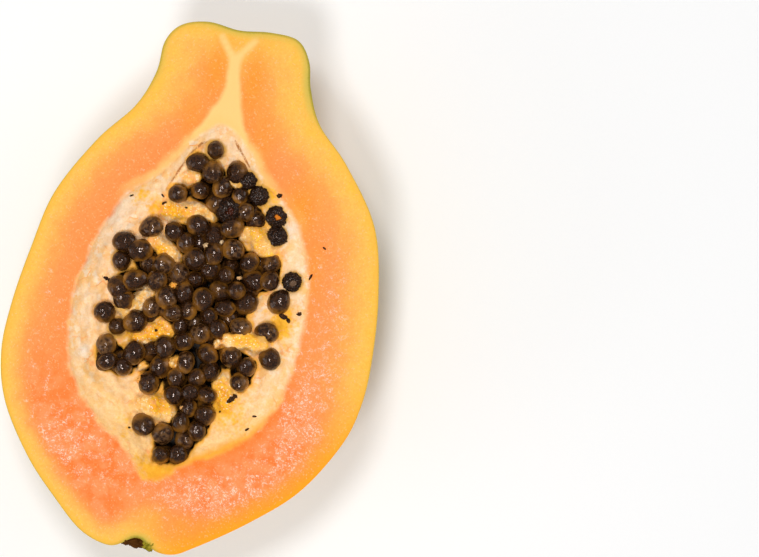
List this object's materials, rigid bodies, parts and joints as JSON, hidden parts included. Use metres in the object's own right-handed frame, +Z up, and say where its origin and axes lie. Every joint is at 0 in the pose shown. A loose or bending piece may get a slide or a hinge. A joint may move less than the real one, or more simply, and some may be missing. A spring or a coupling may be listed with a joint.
{
  "type": "papaya half",
  "caption": "Half of a ripe papaya, cut lengthwise, lying on its back with the cut face up: skin and flesh in one solid round a pale lined hollow, and a heap of dark round seeds in it.",
  "frame": {"origin": "on the ground, under the middle of the half's bounding box", "axes": "+Y along the fruit towards its stalk end, +Z up, square to the cut face"},
  "size_m": [0.1094, 0.1588, 0.0532],
  "materials": {
    "papaya_flesh": "moist orange flesh, yellow-green skin",
    "papaya_seeds": "wet, near-black brown seeds"
  },
  "bodies": {
    "root": {"flesh": "papaya_flesh", "seeds": "papaya_seeds"}
  },
  "joints": []
}
